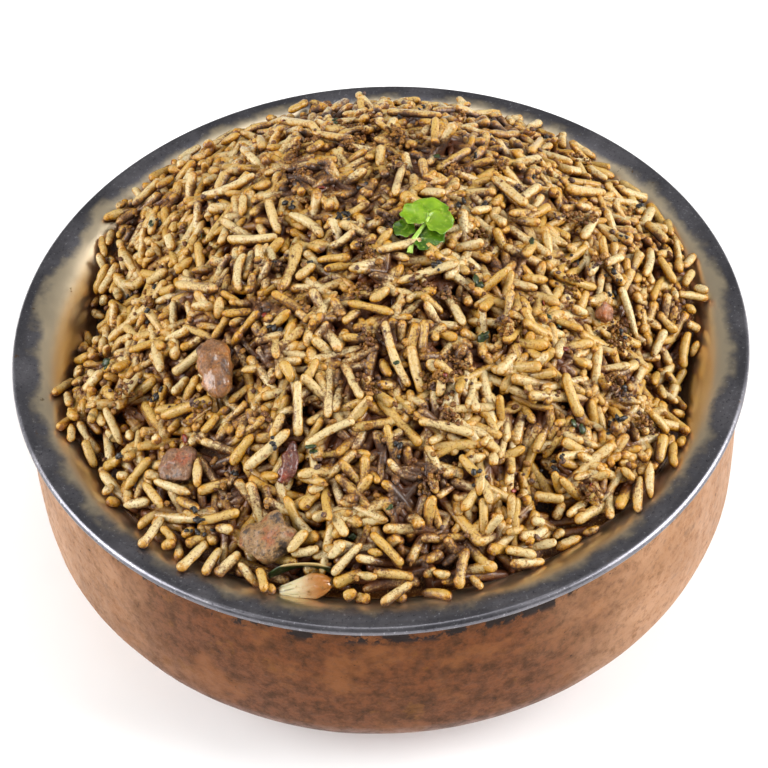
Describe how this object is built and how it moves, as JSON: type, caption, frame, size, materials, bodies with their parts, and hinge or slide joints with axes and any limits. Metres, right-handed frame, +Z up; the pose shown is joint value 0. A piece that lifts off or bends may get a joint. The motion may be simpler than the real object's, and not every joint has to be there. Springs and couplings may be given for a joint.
{
  "type": "biryani in a handi bowl",
  "caption": "Spiced long-grain rice heaped in a round copper and steel handi bowl, with small pieces of meat, fried onion and a fresh coriander leaf.",
  "frame": {"origin": "centre of the bowl's flat base, on the surface it stands on", "axes": "+Z up along the bowl's axis; -Y is the side towards the viewer"},
  "size_m": [0.165, 0.165, 0.0932],
  "materials": {
    "copper": "bare copper, matt and stained",
    "steel": "polished stainless steel, scratched",
    "rice": "moist cooked rice with dark masala",
    "herb": "fresh leaf",
    "dried_leaf": "dried leaf",
    "meat": "oily cooked meat",
    "onion": "oily fried onion"
  },
  "bodies": {
    "root": {"copper_shell": "copper", "steel_bowl": "steel", "rice_heap": "rice", "garnish_leaf": "herb", "curry_leaf": "dried_leaf", "meat_piece_left": "meat", "meat_piece_front": "meat", "onion_piece_front": "onion", "meat_slab_left": "meat", "meat_bit_right": "meat", "spice_skin_front": "meat"}
  },
  "joints": []
}
